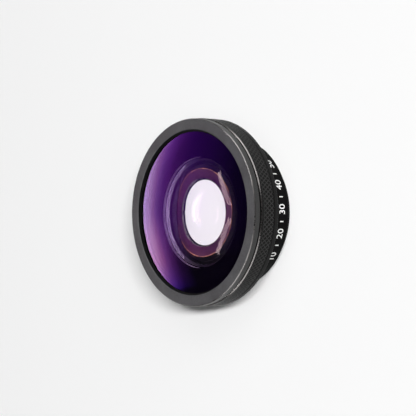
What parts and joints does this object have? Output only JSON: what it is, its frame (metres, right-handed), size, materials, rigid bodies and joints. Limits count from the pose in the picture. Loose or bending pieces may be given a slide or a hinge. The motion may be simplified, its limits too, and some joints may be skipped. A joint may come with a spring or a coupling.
{
  "type": "wide-angle conversion lens",
  "caption": "Screw-in wide-angle conversion lens with a flat bezel, a coated front glass, a diamond-knurled grip ring and a printed rear barrel on a filter thread.",
  "frame": {"origin": "centre of the rear end face, the end of the filter thread on which the lens stands", "axes": "+Z along the optical axis towards the front glass"},
  "size_m": [0.0526, 0.0526, 0.021],
  "materials": {
    "anodised_black": "satin black anodised",
    "knurled_black": "diamond-knurled, black anodised",
    "inner_black": "matt black inside paint",
    "front_coated_glass": "polished with a violet coating",
    "rear_coated_glass": "polished with a faint violet coating",
    "seal_rubber": "soft black rubber",
    "shim_brass": "rolled sheet",
    "screw_steel": "blackened steel",
    "print_white": "white screen print"
  },
  "bodies": {
    "root": {"front_ring": "anodised_black", "front_gasket": "seal_rubber", "front_glass": "front_coated_glass", "seat_shim": "shim_brass", "main_barrel": "inner_black", "front_seal": "seal_rubber", "grip_ring": "knurled_black", "rear_barrel": "anodised_black", "lens_cell": "inner_black", "cell_seal": "seal_rubber", "cell_screws": "screw_steel", "crown_element": "rear_coated_glass", "flint_element": "rear_coated_glass", "flint_shim": "shim_brass", "rear_retaining_ring": "inner_black", "aperture_stop": "inner_black", "cell_cap": "inner_black", "light_baffle": "inner_black", "mount_ring": "anodised_black", "mount_seal": "seal_rubber"}
  },
  "joints": []
}
